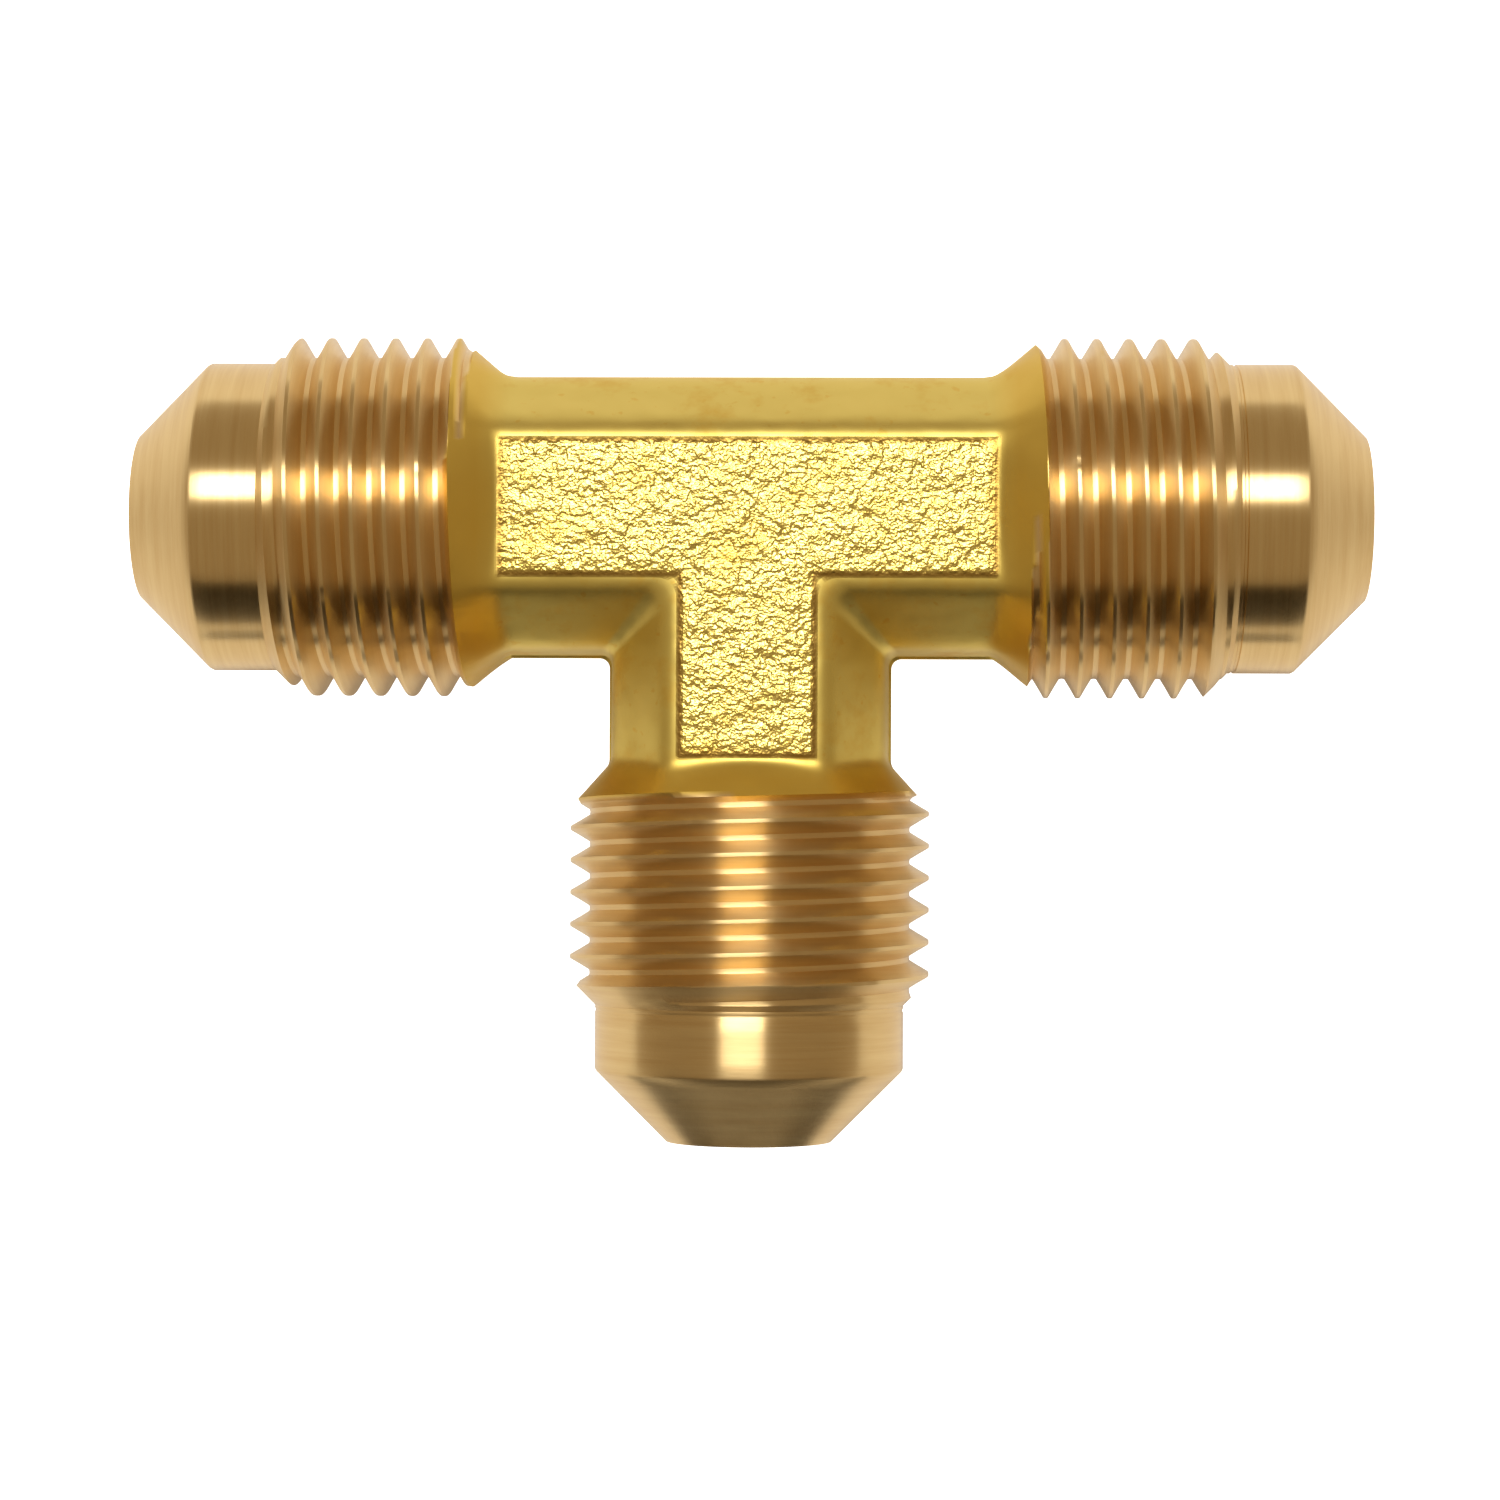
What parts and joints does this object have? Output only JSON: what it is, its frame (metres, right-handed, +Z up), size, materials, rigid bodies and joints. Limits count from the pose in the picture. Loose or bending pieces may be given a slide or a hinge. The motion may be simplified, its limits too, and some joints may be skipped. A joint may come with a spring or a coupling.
{
  "type": "flare union tee",
  "caption": "Brass union tee with equal male 45 degree flare ends, joining flared copper tubes at a right angle branch.",
  "frame": {"origin": "centre of the footprint, on the surface that the fitting lies on", "axes": "+X along the run, the branch points along -Y, +Z up and square to both bores; the axes of the bores lie 7.92 mm up and the run's axis lies at y = 9.79 mm"},
  "size_m": [0.054, 0.0354, 0.0158],
  "materials": {
    "brass": "forged body bead-blasted yellow and satin, threads, pilots and cones machined bright"
  },
  "bodies": {
    "root": {"tee_body": "brass"}
  },
  "joints": []
}
